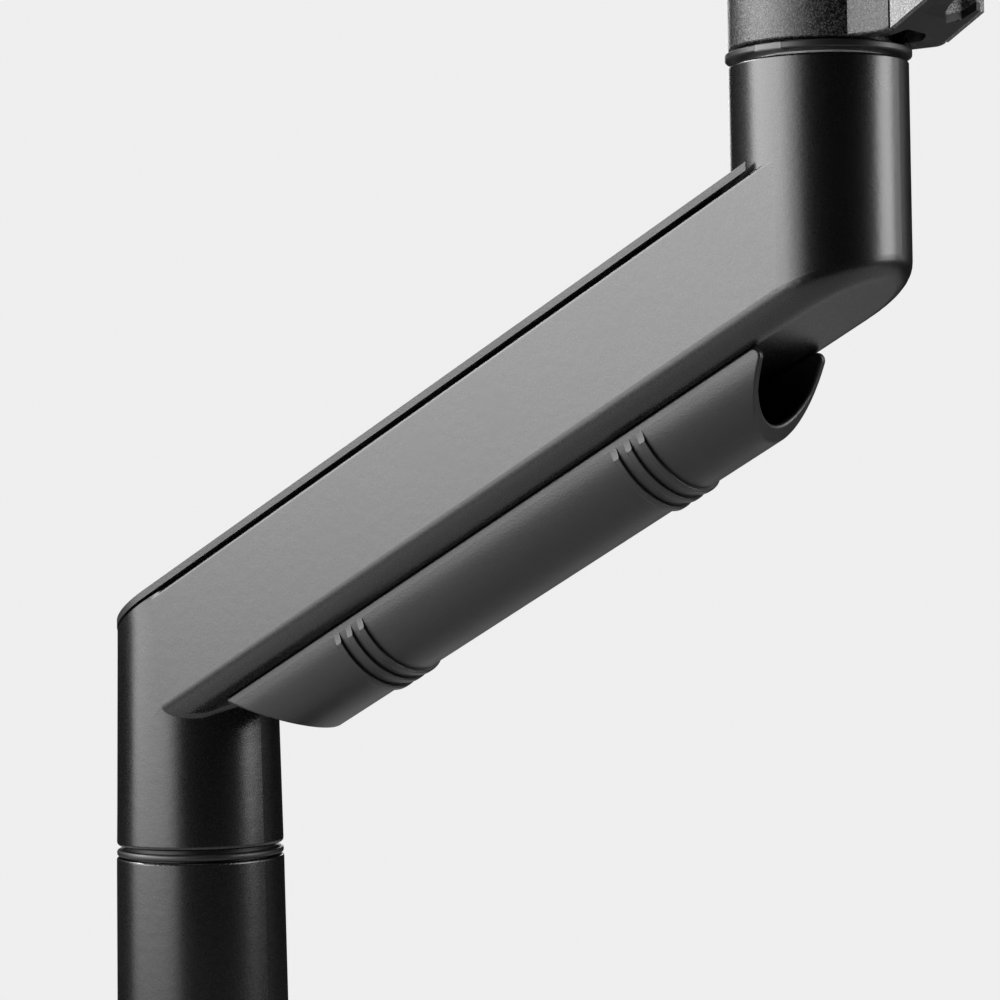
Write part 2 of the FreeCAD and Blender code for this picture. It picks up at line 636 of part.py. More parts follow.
def under_cover_space():
    """The space that the under cover fills."""
    thick = "under_cover_thick"
    return profile([("stop_ring_radius + 0.2", "shoulder_floor"), ("slope_start", "shoulder_floor"),
                    ("cheek_front", shoulder_slope(0, "cheek_front")),
                    ("cheek_front", shoulder_slope(thick, "cheek_front")),
                    ("slope_start", f"shoulder_floor + {thick}"),
                    ("stop_ring_radius + 0.2", f"shoulder_floor + {thick}")],
                   "2 * (lug_half_width - 2)")


def shoulder():
    key_low, key_high = -4.7, 2.7
    stop_ring = turned([(17.3, "stop_ring_floor"), ("stop_ring_radius", "stop_ring_floor"),
                        ("stop_ring_radius", "stop_ring_roof"), (20, "stop_ring_roof"),
                        (20, "shoulder_floor - 0.1"), (17.3, "shoulder_floor - 0.1")],
                       [("stop_ring_radius", "stop_ring_floor", 0.5),
                        ("stop_ring_radius", "stop_ring_roof", 0.35)])
    gap = block((key_low - 0.12, key_high + 0.12), ("-stop_ring_radius - 2", -19.5),
                ("stop_ring_floor - 1", "stop_ring_roof + 1"))
    keep("stop_ring", cut(stop_ring, gap), frame=ARM)
    tab = turned([(19.8, "stop_ring_floor"), ("stop_ring_radius", "stop_ring_floor"),
                  ("stop_ring_radius", "stop_ring_roof"), (19.8, "stop_ring_roof")],
                 [("stop_ring_radius", "stop_ring_floor", 0.4), ("stop_ring_radius", "stop_ring_roof", 0.3)])
    tab_span = block((key_low, key_high), ("-stop_ring_radius - 2", -19.5), (0, EVERYWHERE))
    keep("stop_key", common(tab, tab_span), frame=ARM)

    tongue_space = beam_block((13, "lug_front + 1"), 9, ("shoulder_floor + 14", "shoulder_floor + 34"))
    body = fuse(rod("shoulder_radius", ("shoulder_floor", "shoulder_roof")),
                beam_block((0, "lug_front"), "lug_half_width", ("shoulder_floor", "shoulder_roof")))
    body = cut(body, below_shoulder())
    floor, roof = number("shoulder_floor"), number("shoulder_roof")

    def on_rim(point):
        return point.x < number("slope_start") + 0.01 and abs(point.z - floor) < 0.01

    body = rounded(body, (on_rim, 0.8), (lambda point: abs(point.z - roof) < 0.01, 1.2))
    body = fuse(body, rod(17, ("shoulder_floor - 1.3", "shoulder_floor + 1")))
    socket = rod("arm_spindle_radius", ("shoulder_floor - 5", "shoulder_roof - 6"))
    keep("shoulder_casting", cut(body, socket, tongue_space, under_cover_space(), ring_slot(),
                                 *tongue_pins("lug_half_width")), frame=ARM)
    keep("arm_spindle", turned([(0, "upper_sleeve_floor + 0.5"),
                                ("arm_spindle_radius - 1", "upper_sleeve_floor + 0.5"),
                                ("arm_spindle_radius", "upper_sleeve_floor + 1.5"),
                                ("arm_spindle_radius", "shoulder_roof - 6"),
                                (0, "shoulder_roof - 6")]), frame=ARM)
    keep("shoulder_cap", turned([(0, "shoulder_roof"), ("shoulder_radius - 0.6", "shoulder_roof"),
                                 ("shoulder_radius - 0.6", "shoulder_roof + 3"),
                                 (0, "shoulder_roof + 3")],
                                [("shoulder_radius - 0.6", "shoulder_roof + 3", 1.5)]), frame=ARM)
    keep("bracket_pins", *tongue_pins("lug_half_width - 0.2"), frame=ARM)
    pivot_bracket()
    under_cover()


def ring_slot():
    """The round-ended slot between the ring and the under cover."""
    deep = ("shoulder_floor - 1", "shoulder_floor + 9")
    return fuse(block((19.5, 25.4), (-9.6, 4), deep), rod(3, deep, (25.4, -6.6)), rod(3, deep, (25.4, 1)),
                block((24, 28.4), (-6.6, 1), deep))


def tongue_pins(half_length):
    """Two cross pins that hold the pivot bracket's tongue in the casting."""
    return [rod(3, (f"-({half_length})", half_length), (21, f"shoulder_floor + {rise}"), "Y")
            for rise in (19, 29)]


def pivot_bracket():
    top = "pivot_level + pivot_rise"
    foot = beam_block(("cheek_rear", "cheek_front"), "lug_half_width", ("shoulder_floor", f"{top} - 2"))
    ears = beam_block(("cheek_front - 1", "pivot_place + 7.5"), "lug_half_width", ("pivot_level", top))
    lower_round = rod(11, ("-lug_half_width", "lug_half_width"), ("pivot_place", "pivot_level"), "Y")
    upper_round = rod(7.5, ("-lug_half_width", "lug_half_width"), ("pivot_place", top), "Y")
    shelf = beam_block(("cheek_rear", "pivot_place + 8"), "lug_half_width",
                       ("pivot_level - 16", "pivot_level - 10.5"))
    tongue = beam_block((13.1, "cheek_rear + 1"), 8.9, ("shoulder_floor + 14.1", "shoulder_floor + 33.9"))
    slot = beam_block(("cheek_rear + 3.7", 80), "cheek_slot", ("pivot_level - 10.5", EVERYWHERE + 10))
    notch = beam_block(("cheek_rear - 5", 80), "cheek_slot", ("pivot_level + 12", EVERYWHERE + 10))
    behind = beam_block((0, "cheek_rear"), 40, (300, EVERYWHERE + 10))
    body = cut(fuse(cut(foot, below_shoulder()), ears, lower_round, upper_round, shelf), slot, notch, behind)
    pins = [rod("pin_radius", (-50, 50), ("pivot_place", level), "Y") for level in ("pivot_level", top)]
    screw_hole = rod("4 + running_gap", (300, "pivot_level - 10"), ("pivot_place", 0))
    keep("pivot_bracket", cut(fuse(body, tongue), under_cover_space(), screw_hole, ring_slot(),
                              key_hole("pivot_level - 16"), *pins, *tongue_pins("lug_half_width")),
         frame=ARM)

    def stubs(level, reach):
        return mirrored(lambda side: side_rod("pin_radius", "cheek_slot + 0.4", reach,
                                              ("pivot_place", level), side))
    keep("rear_pins", *stubs("pivot_level", "channel_outside"), *stubs(top, "top_outside"), frame=ARM)
    keep("rear_washers", *mirrored(lambda side: side_ring("lug_half_width + 0.1", "channel_inside - 0.1",
                                                          "pivot_place", "pivot_level", side)),
         *mirrored(lambda side: side_ring("lug_half_width + 0.1", "top_inside - 0.1",
                                          "pivot_place", top, side, outer="7.4")), frame=ARM)


def side_ring(near, far, x, z, side, inner="pin_radius", outer="9"):
    """A washer or spacer on a cross pin, on one side of the XZ plane."""
    return cut(side_rod(outer, near, far, (x, z), side), side_rod(inner, near, far, (x, z), side))


def under_cover():
    """The moulded cover under the shoulder, with a shallow panel and a hole for the tension key."""
    panel = profile([(33.2, shoulder_slope(-1, 33.2)), (33.2, shoulder_slope(0, 33.2)),
                     (35.6, shoulder_slope(0.9, 35.6)), (60, shoulder_slope(0.9, 60)),
                     (60, shoulder_slope(-1, 60))], 17)
    keep("under_cover", cut(under_cover_space(), below_shoulder(), panel, key_hole("pivot_level"),
                            ring_slot()), frame=ARM)


def key_hole(top):
    """The eight-sided hole under the shoulder, up to a level."""
    hole = doc.addObject("Part::Prism", "Octagon")
    hole.Polygon = 8
    return bind(hole, Circumradius="key_radius", Height=f"{top} - shoulder_floor + 10",
                Placement__Base__x="key_place", Placement__Base__y="key_offset",
                Placement__Base__z="shoulder_floor - 10")


def tension_adjuster():
    """A screw, turned from below, that raises and lowers the anchor of the pull rod."""
    shelf_top = "pivot_level - 10.5"
    socket = hexagon(2.6, ("pivot_level - 17.6", "pivot_level - 13.5"), ("pivot_place", 0))
    screw = fuse(rod(4, ("pivot_level - 17.5", "pivot_level - 2"), ("pivot_place", 0)),
                 rod(6, (f"{shelf_top} + 0.05", f"{shelf_top} + 2"), ("pivot_place", 0)))
    keep("tension_screw", cut(screw, socket), frame=ARM)
    eye = "pivot_level + anchor_rise"
    block_part = beam_block(("pivot_place - 6", "pivot_place + 6"), 7, ("pivot_level - 4.9", f"{eye} + 7"))
    fork = beam_block(("pivot_place - 7", "pivot_place + 7"), 4, ("pivot_level + 2", f"{eye} + 8"))
    pin_hole = rod("anchor_pin_radius", (-10, 10), ("pivot_place", eye), "Y")
    thread = rod("4 + running_gap", ("pivot_level - 8", "pivot_level + 3"), ("pivot_place", 0))
    keep("tension_anchor", cut(block_part, fork, pin_hole, thread), frame=ARM)
    keep("anchor_pin", rod("anchor_pin_radius", (-7, 7), ("pivot_place", eye), "Y"), frame=ARM)


# ---------------------------------------------------------------- spring arm

REAR = "pivot_place"
FRONT = "pivot_place + arm_span"


def arm_side(half_width, ends, low, high):
    """A long plate with its lower corners rounded about the pivots."""
    plate = beam_block((REAR, FRONT), half_width, (low, high))
    rounds = [rod("channel_round", (f"-({half_width})", half_width), (x, "pivot_level"), "Y") for x in ends]
    over = beam_block((-60, 600), 60, (high, EVERYWHERE + 100))
    return cut(fuse(plate, *rounds), over)


def lower_arm():
    floor = "pivot_level - channel_round"
    outside = arm_side("channel_outside", (REAR, FRONT), floor, "pivot_level + channel_rise")
    outside = rounded(outside, (lambda point: at_side(point, "channel_outside")
                                and at_level(point, floor), 2.5))
    inside = beam_block((-60, 600), "channel_inside", (f"{floor} + 3", EVERYWHERE + 100))
    rear_end = beam_block((-60, f"{REAR} + 18"), "channel_inside", (300, EVERYWHERE + 100))
    front_end = beam_block((f"{FRONT} - 18", 600), "channel_inside", (300, EVERYWHERE + 100))
    bores = [rod("bush_radius", (-60, 60), (x, "pivot_level"), "Y") for x in (REAR, FRONT)]
    keep("lower_arm_channel", cut(outside, inside, rear_end, front_end, *bores), frame=ARM)
    keep("channel_bushes", *[bush for x in (REAR, FRONT) for bush in mirrored(
        lambda side, x=x: side_ring("channel_inside", "channel_outside", x, "pivot_level", side,
                                    "pin_radius + running_gap", "bush_radius"))], frame=ARM)
    clips = []
    for x in (110, 230):
        outer = beam_block((x, x + 14), 15, (f"{floor} - 13", floor))
        outer = rounded(outer, (lambda point: at_side(point, 15) and at_level(point, f"{floor} - 13"), 4))
        tunnel = beam_block((x, x + 14), 12.6, (f"{floor} - 10.6", f"{floor} - 2.4"))
        tunnel = rounded(tunnel, (lambda point: at_side(point, 12.6)
                                  and at_level(point, f"{floor} - 10.6"), 2))
        clips.append(cut(outer, tunnel, block((x, x + 14), (3, 10), (f"{floor} - 14", f"{floor} - 10"))))
    keep("cable_clips", *clips, frame=ARM)


def upper_arm():
    pivots = "pivot_level + pivot_rise"
    low, high = f"{pivots} - top_skirt", f"{pivots} + top_web + 2.5"
    outside = beam_block((f"{REAR} - 12", f"{FRONT} + 12"), "top_outside", (low, high))
    outside = rounded(outside, (lambda point: at_level(point, high), 4))
    inside = beam_block((-60, 600), "top_inside", (300, f"{pivots} + top_web"))
    ends = [profile([(f"{x}", low), (f"{x} + ({way * 12})", low), (f"{x} + ({way * 12})", f"{pivots} - 8")],
                    100) for x, way in ((REAR, -1), (FRONT, 1))]
    bores = [rod("bush_radius", (-60, 60), (x, pivots), "Y") for x in (REAR, FRONT)]
    keep("upper_arm_cover", cut(outside, inside, *ends, *bores), frame=ARM)
    keep("cover_bushes", *[bush for x in (REAR, FRONT) for bush in mirrored(
        lambda side, x=x: side_ring("top_inside", "top_outside", x, pivots, side,
                                    "pin_radius + running_gap", "bush_radius"))], frame=ARM)


def spring_unit():
    """The lift spring on its pull rod: X along the rod, from the anchor pin."""
    stop_end = "spring_stop + 6"
    seat = f"{stop_end} + spring_length"
    plate = beam_block(("spring_stop", stop_end), "channel_inside - 0.05", (-9, 11))
    keep("spring_stop", cut(plate, rod("pull_rod_radius + 1", (0, EVERYWHERE), (0, 0), "X")), frame=SPRING)
    keep("lift_spring", coil_spring(), frame=SPRING)
    disc = beam_block((f"{seat} + 0.2", f"{seat} + 7"), 15, (-9, 10))
    keep("spring_seat", cut(disc, rod("pull_rod_radius", (0, EVERYWHERE), (0, 0), "X")), frame=SPRING)
    eye = cut(beam_block(("-anchor_pin_radius - 2.5", 8), 2.5, (-9.2, 6)),
              beam_block(("-anchor_pin_radius - 1", "anchor_pin_radius + 1"), 5,
                         ("-anchor_pin_radius - 5", "anchor_pin_radius + 1.8")))
    shaft = rod("pull_rod_radius", (7, f"{seat} + 20"), (0, 0), "X")
    keep("pull_rod", fuse(eye, shaft), frame=SPRING)
    keep("pull_nut", cut(hexagon(7, (f"{seat} + 7", f"{seat} + 14"), (0, 0), "X"),
                         rod("pull_rod_radius", (0, EVERYWHERE), (0, 0), "X")), frame=SPRING)


def coil_spring():
    """A round wire swept along a helix between the spring's two seats."""
    clear = number("wire_radius + 0.1")
    radius, pitch = number("coil_radius"), number("coil_pitch")
    length = number("spring_length") - 2 * clear
    path = Part.makeHelix(pitch, length, radius)
    wire = Part.Wire(path.Edges)
    start = wire.Edges[0].valueAt(wire.Edges[0].FirstParameter)
    along = wire.Edges[0].tangentAt(wire.Edges[0].FirstParameter)
    section = Part.Wire([Part.makeCircle(number("wire_radius"), start, along)])
    coil = doc.addObject("Part::Feature", "Coil")
    shape = wire.makePipeShell([section], True, True)
    shape.rotate(Vector(), Vector(0, 1, 0), 90)
    shape.translate(Vector(number("spring_stop + 6") + clear, 0, 0))
    coil.Shape = shape
    return coil


# ---------------------------------------------------------------- front bracket and head

PAN = f"{FRONT} + pan_place"
TILT = f"{PAN} + tilt_place"


def front_bracket():
    top = "pivot_level + pivot_rise"
    post_part = beam_block((f"{FRONT} - 7.5", f"{FRONT} + 7.5"), "lug_half_width", ("pivot_level", top))
    lower_round = rod(11, ("-lug_half_width", "lug_half_width"), (FRONT, "pivot_level"), "Y")
    upper_round = rod(7.5, ("-lug_half_width", "lug_half_width"), (FRONT, top), "Y")
    web = beam_block((FRONT, PAN), "lug_half_width - 3", ("boss_floor", "boss_roof"))
    boss = rod("boss_radius", ("boss_floor", "boss_roof"), (PAN, 0))
    pins = [rod("pin_radius", (-50, 50), (FRONT, level), "Y") for level in ("pivot_level", top)]
    bore = rod("pan_radius + 2", (300, EVERYWHERE), (PAN, 0))
    body = fuse(post_part, lower_round, upper_round, web, boss)
    neck = number(f"{FRONT} + 7.6")
    body = rounded(body, (lambda point: point.x > neck and at_level(point, "boss_roof", "boss_floor"), 1.5))
    keep("front_bracket", cut(body, bore, *pins), frame=ARM)
    lower_pin = rod("pin_radius", ("-channel_outside", "channel_outside"), (FRONT, "pivot_level"), "Y")
    upper_pin = rod("pin_radius", ("-top_outside", "top_outside"), (FRONT, top), "Y")
    keep("front_pins", lower_pin, upper_pin, frame=ARM)
    keep("front_washers", *mirrored(lambda side: side_ring("lug_half_width + 0.1", "channel_inside - 0.1",
                                                           FRONT, "pivot_level", side)),
         *mirrored(lambda side: side_ring("lug_half_width + 0.1", "top_inside - 0.1", FRONT, top, side,
                                          outer="7.4")), frame=ARM)
    bush = ring("pan_radius + running_gap", "pan_radius + 2", ("boss_floor", "boss_roof"), (PAN, 0))
    keep("pan_bush", bush, frame=ARM)


def head_yoke():
    disc_top = "boss_floor - 0.15"
    disc = rod("boss_radius + 1", ("tilt_level - 5", disc_top), (PAN, 0))
    bar = beam_block((PAN, f"{TILT} - 6"), "ear_outside", ("tilt_level - 5", disc_top))
    ears = mirrored(lambda side: side_rod("knuckle_radius", "ear_inside", "ear_outside",
                                          (TILT, "tilt_level"), side))
    arms = beam_block((f"{TILT} - 12", TILT), "ear_outside", ("tilt_level - 5", "tilt_level + 7.5"))
    slot = beam_block((f"{TILT} - 11", f"{TILT} + 20"), "ear_inside", (300, EVERYWHERE))
    tilt_hole = rod("tilt_radius", (-30, 30), (TILT, "tilt_level"), "Y")
    socket = rod("pan_radius", (300, EVERYWHERE), (PAN, 0))
    ears = [rounded(ear, (lambda point: at_side(point, "ear_outside"), 1.2)) for ear in ears]
    disc = rounded(disc, (lambda point: at_level(point, "tilt_level - 5"), 1.2))
    yoke = cut(fuse(disc, cut(fuse(bar, arms), slot), *ears), tilt_hole, socket)
    keep("head_yoke", yoke, frame=ARM)
    spindle = rod("pan_radius", ("tilt_level - 5", "boss_roof"), (PAN, 0))
    keep("pan_spindle", cut(spindle, rod(3, ("boss_roof - 20", EVERYWHERE), (PAN, 0))), frame=ARM)
    washer = ring(3, 12, ("boss_roof + 0.1", "boss_roof + 1.6"), (PAN, 0))
    head = cut(rod(5, ("boss_roof + 1.6", "boss_roof + 6.6"), (PAN, 0)),
               hexagon(2.9, ("boss_roof + 3.6", "boss_roof + 7"), (PAN, 0)))
    keep("pan_screw", washer, fuse(head, rod(3, ("boss_roof - 18", "boss_roof + 2"), (PAN, 0))), frame=ARM)
    bolt = fuse(rod("tilt_radius", ("-ear_outside - 3", "ear_outside + 6"), (TILT, "tilt_level"), "Y"),
                rod(6.5, ("-ear_outside - 4.5", "-ear_outside"), (TILT, "tilt_level"), "Y"))
    keep("tilt_bolt", cut(bolt, hexagon(3, ("-ear_outside - 5", "-ear_outside - 2"),
                                        (TILT, "tilt_level"), "Y")), frame=ARM)
    washers = ring("tilt_radius", "7.5", ("ear_outside", "ear_outside + 1.8"), (TILT, "tilt_level"), "Y")
    nut = cut(hexagon(7.5, ("ear_outside + 1.8", "ear_outside + 6"), (TILT, "tilt_level"), "Y"),
              rod("tilt_radius", (0, 40), (TILT, "tilt_level"), "Y"))
    keep("tilt_nut", washers, nut, frame=ARM)


def tilt_block():
    face = f"{TILT} + rotor_place"
    level = "tilt_level"
    middle = number(level)
    knuckle = rod("knuckle_radius - 0.3", (-8.9, 8.9), (TILT, level), "Y")
    neck = block((TILT, f"{face} - 3"), (-8.9, 8.9), ("tilt_level - 9", "tilt_level + 9"))
    neck = rounded(neck, (lambda point: at_side(point, 8.9) and abs(abs(point.z - middle) - 9) < 0.01, 2))
    flange = rod("rotor_radius - 2", (f"{face} - 4", face), (0, level), "X")
    flange = rounded(flange, (lambda point: abs(point.x - number(f"{face} - 4")) < 0.01, 1.2))
    bolt_hole = rod("tilt_radius + running_gap", (-30, 30), (TILT, level), "Y")
    thread = rod(4, (f"{face} - 10", f"{face} + 1"), (0, level), "X")
    keep("tilt_block", cut(fuse(knuckle, neck, flange), bolt_hole, thread), frame=ARM)
    keep("friction_discs", *mirrored(lambda side: side_ring(8.9, "ear_inside - 0.1", TILT, level, side,
                                                            "tilt_radius + running_gap", "8.6")), frame=ARM)
    shank = rod(4, (f"{face} - 9.5", f"{face} + 1"), (0, level), "X")
    collar = rod(6, (face, f"{face} + 7.4"), (0, level), "X")
    head = rod(9, (f"{face} + 7.4", f"{face} + 9.6"), (0, level), "X")
    keep("rotor_bolt", fuse(shank, collar, head), frame=ARM)


def screen_plate():
    face = f"{TILT} + rotor_place"
    level = "tilt_level"
    rear = f"{TILT} + screen_place"
    disc = rod("rotor_radius", (f"{face} + 0.3", f"{face} + 7.2"), (0, level), "X")
    disc = rounded(disc, (lambda point: abs(point.x - number(f"{face} + 0.3")) < 0.01, 1.2))
    square = block((f"{face} + 7.2", rear), (-20, 20), ("tilt_level - 20", "tilt_level + 20"))
    square = rounded(square, (lambda point: at_side(point, 20)
                              and at_level(point, "tilt_level - 20", "tilt_level + 20"), 4))
    collar = rod("6 + running_gap", (face, rear), (0, level), "X")
    head_space = rod(10, (f"{face} + 7.2", f"{rear} + 1"), (0, level), "X")
    carrier = cut(fuse(disc, square), collar, head_space, *plate_bolts())
    keep("plate_carrier", carrier, frame=ARM)

    body = doc.addObject("PartDesign::Body", "Plate")
    pad = body.newObject("PartDesign::Pad", "Sheet")
    half = "screen_half"
    pad.Profile = outlined(new_sketch(body, "YZ_Plane"),
                           [(f"-{half}", f"-{half}"), (half, f"-{half}"), (half, half), (f"-{half}", half)])
    bind(pad, Length="screen_thick")
    doc.recompute()
    corners = [f"Edge{index}" for index, edge in enumerate(body.Shape.Edges, start=1)
               if abs(edge.tangentAt(edge.FirstParameter).x) > 0.99]
    corner_round = body.newObject("PartDesign::Fillet", "Corners")
    corner_round.Base = (pad, corners)
    corner_round.Radius = 10
    body.Tip = corner_round
    doc.recompute()
    outline = [f"Edge{index}" for index, edge in enumerate(body.Shape.Edges, start=1)
               if abs(edge.tangentAt(edge.FirstParameter).x) < 0.01]
    edge_round = body.newObject("PartDesign::Fillet", "EdgeRound")
    edge_round.Base = (corner_round, outline)
    edge_round.Radius = 0.7
    body.Tip = edge_round
    for half_pattern in ("wide_pattern", "narrow_pattern"):
        centres = [(f"{across} * {half_pattern}", f"{up} * {half_pattern}")
                   for across in (-1, 1) for up in (-1, 1)]
        holes = body.newObject("PartDesign::Pocket", "Holes")
        holes.Profile = circled(new_sketch(body, "YZ_Plane", "HoleOutline"), "hole_radius", centres)
        holes.SideType = "Symmetric"
        bind(holes, Length=EVERYWHERE)
        body.Tip = holes
    framed(body, ((f"{rear}", 0, level), 0))
    windows = []
    for low, high in (("tilt_level + 27", "tilt_level + 45"), ("tilt_level - 45", "tilt_level - 27")):
        window = beam_block((rear, f"{rear} + screen_thick"), 11, (low, high))
        windows.append(rounded(window, (lambda point: at_side(point, 11) and at_level(point, low, high), 3)))
    keep("screen_plate", cut(body, *windows, *plate_bolts()), frame=ARM)
    keep("plate_bolts", *plate_bolts(), frame=ARM)
    latch = block((f"{rear} - 1.8", f"{rear} - 0.2"), (-9, 9), ("tilt_level - 56", "tilt_level - 20.3"))
    tab = block((f"{rear} - 8", f"{rear} - 0.2"), (-9, 9), ("tilt_level - 58", "tilt_level - 56"))
    keep("release_latch", fuse(latch, tab), frame=ARM)


def plate_bolts():
    """Four countersunk screws that hold the screen plate to its carrier."""
    rear = f"{TILT} + screen_place"
    screws = []
    for across in (-15, 15):
        for up in (-15, 15):
            head = doc.addObject("Part::Cone", "Head")
            head.Placement = Placement(Vector(), AIMED["X"])
            bind(head, Radius1=2, Radius2=3.9, Height=1.9, Placement__Base__x=f"{rear} + screen_thick - 1.9",
                 Placement__Base__y=across, Placement__Base__z=f"tilt_level + ({up})")
            shank = rod(2, (f"{rear} - 4", f"{rear} + screen_thick"), (across, f"tilt_level + ({up})"), "X")
            screws.append(fuse(head, shank))
    return screws


# ---------------------------------------------------------------- build, check and write

for section in (desk_clamp, post, link, cable_cover, shoulder, tension_adjuster, lower_arm, upper_arm,
                spring_unit, front_bracket, head_yoke, tilt_block, screen_plate):
    section()
doc.recompute()

failed = [(item.Label, [part.Label for part in nodes if part in item.InListRecursive])
          for item in doc.Objects if {"Invalid", "Error"} & set(item.State)]
if failed:
    raise SystemExit(f"failed objects: {failed}")
for item in nodes:
    if item.Shape.isNull() or not item.Shape.isValid() or not item.Shape.Solids:
        raise SystemExit(f"bad shape: {item.Label}")

os.makedirs("parts", exist_ok=True)
for item in nodes:
    item.Shape.exportStep(f"parts/{item.Label}.step")
    box = item.Shape.BoundBox
    print(f"{item.Label:20s} solids {len(item.Shape.Solids)} volume {item.Shape.Volume:10.1f}  "
          f"x {box.XMin:.1f} {box.XMax:.1f}  y {box.YMin:.1f} {box.YMax:.1f}  "
          f"z {box.ZMin:.1f} {box.ZMax:.1f}")
print(len(nodes), "nodes")
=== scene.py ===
"""Looks of the desk-clamped monitor arm: materials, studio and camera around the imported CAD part."""

import json
import math

import bpy
from mathutils import Matrix, Vector


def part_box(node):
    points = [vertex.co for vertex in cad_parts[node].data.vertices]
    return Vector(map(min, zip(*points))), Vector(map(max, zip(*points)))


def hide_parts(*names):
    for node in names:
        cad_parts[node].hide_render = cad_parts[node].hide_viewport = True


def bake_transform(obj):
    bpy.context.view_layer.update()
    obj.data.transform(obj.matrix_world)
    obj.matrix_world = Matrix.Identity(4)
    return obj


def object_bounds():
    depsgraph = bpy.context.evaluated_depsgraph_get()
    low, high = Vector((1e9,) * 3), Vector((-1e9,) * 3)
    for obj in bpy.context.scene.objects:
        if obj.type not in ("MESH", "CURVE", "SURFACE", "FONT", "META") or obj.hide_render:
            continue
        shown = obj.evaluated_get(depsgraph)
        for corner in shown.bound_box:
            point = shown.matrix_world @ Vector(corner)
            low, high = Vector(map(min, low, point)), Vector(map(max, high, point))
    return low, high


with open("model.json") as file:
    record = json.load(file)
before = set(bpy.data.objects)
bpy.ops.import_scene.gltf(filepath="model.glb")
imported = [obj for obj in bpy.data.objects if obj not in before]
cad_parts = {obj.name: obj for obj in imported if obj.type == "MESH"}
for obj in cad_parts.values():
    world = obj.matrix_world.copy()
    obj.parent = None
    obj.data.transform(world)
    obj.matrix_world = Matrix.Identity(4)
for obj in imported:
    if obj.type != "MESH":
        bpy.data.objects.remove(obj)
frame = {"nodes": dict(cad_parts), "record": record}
bounds_at_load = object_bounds()
nodes = frame["nodes"]
SLOTS = {part["node"]: part["material_slot"] for part in frame["record"]["subparts"]}


# ---------------------------------------------------------------- node helpers

class Graph:
    """A small wrapper for building a material's node tree."""

    def __init__(self, name):
        self.material = bpy.data.materials.new(name)
        self.material.use_nodes = True
        self.tree = self.material.node_tree
        self.surface = self.tree.nodes["Principled BSDF"]
        self.place = self.node("ShaderNodeTexCoord").outputs["Object"]

    def node(self, kind, inputs=None, **settings):
        """Adds a node; inputs are values or sockets by name, settings are its own properties."""
        made = self.tree.nodes.new(kind)
        for name, value in settings.items():
            setattr(made, name, value)
        for name, value in (inputs or {}).items():
            self.feed(made.inputs[name], value)
        return made

    def feed(self, socket, value):
        """Links a socket to an input, or sets a plain value on it."""
        if isinstance(value, bpy.types.NodeSocket):
            self.tree.links.new(value, socket)
        else:
            socket.default_value = value

    def noise(self, scale, detail=3.0, roughness=0.55, stretch=None):
        """Soft noise from 0 to 1; scale is in repeats per metre."""
        place = self.place
        if stretch:
            place = self.node("ShaderNodeMapping", {"Vector": place, "Scale": stretch}).outputs[0]
        return self.node("ShaderNodeTexNoise", {"Vector": place, "Scale": scale, "Detail": detail,
                                                "Roughness": roughness}).outputs["Fac"]

    def cells(self, scale):
        """Distance to the nearest of a scatter of points."""
        return self.node("ShaderNodeTexVoronoi", {"Vector": self.place, "Scale": scale}).outputs["Distance"]

    def flecks(self, scale, share):
        """Above 0 on a share of small random cells, 0 on the others."""
        cell = self.node("ShaderNodeTexVoronoi", {"Vector": self.place, "Scale": scale}).outputs["Color"]
        level = self.node("ShaderNodeSeparateColor", {"Color": cell}).outputs["Red"]
        return self.span(level, 1.0 - share, 1.0, 0.0, 1.0)

    def span(self, value, low, high, start, end):
        """Maps low..high to start..end, and stays inside it."""
        return self.node("ShaderNodeMapRange", {"Value": value, "From Min": low, "From Max": high,
                                                "To Min": start, "To Max": end}).outputs["Result"]

    def math(self, operation, first, second):
        made = self.node("ShaderNodeMath", operation=operation)
        self.feed(made.inputs[0], first)
        self.feed(made.inputs[1], second)
        return made.outputs[0]

    def mix(self, factor, first, second):
        """The first colour at factor 0, the second at 1."""
        made = self.node("ShaderNodeMix", data_type="RGBA")
        self.feed(made.inputs["Factor"], factor)
        self.feed(made.inputs["A"], first)
        self.feed(made.inputs["B"], second)
        return made.outputs["Result"]

    def bump(self, height, strength, distance, under=None):
        """A bumped normal, on top of another one if it is given; distance is in metres."""
        inputs = {"Height": height, "Strength": strength, "Distance": distance}
        if under is not None:
            inputs["Normal"] = under
        return self.node("ShaderNodeBump", inputs).outputs["Normal"]

    def edges(self):
        """1 on sharp outer edges, 0 elsewhere."""
        point = self.node("ShaderNodeNewGeometry").outputs["Pointiness"]
        return self.span(point, 0.53, 0.62, 0.0, 1.0)

    def finish(self, **inputs):
        """Feeds the surface shader's inputs, an underscore in a name standing for a space."""
        for name, value in inputs.items():
            self.feed(self.surface.inputs[name.replace("_", " ")], value)
        return self.material


def grey(value, tint=0.0):
    """A grey, bluish for a positive tint and reddish for a negative one."""
    return (value * (1 - tint), value, value * (1 + tint), 1.0)


# ---------------------------------------------------------------- materials

SPECK_GREY = 0.22


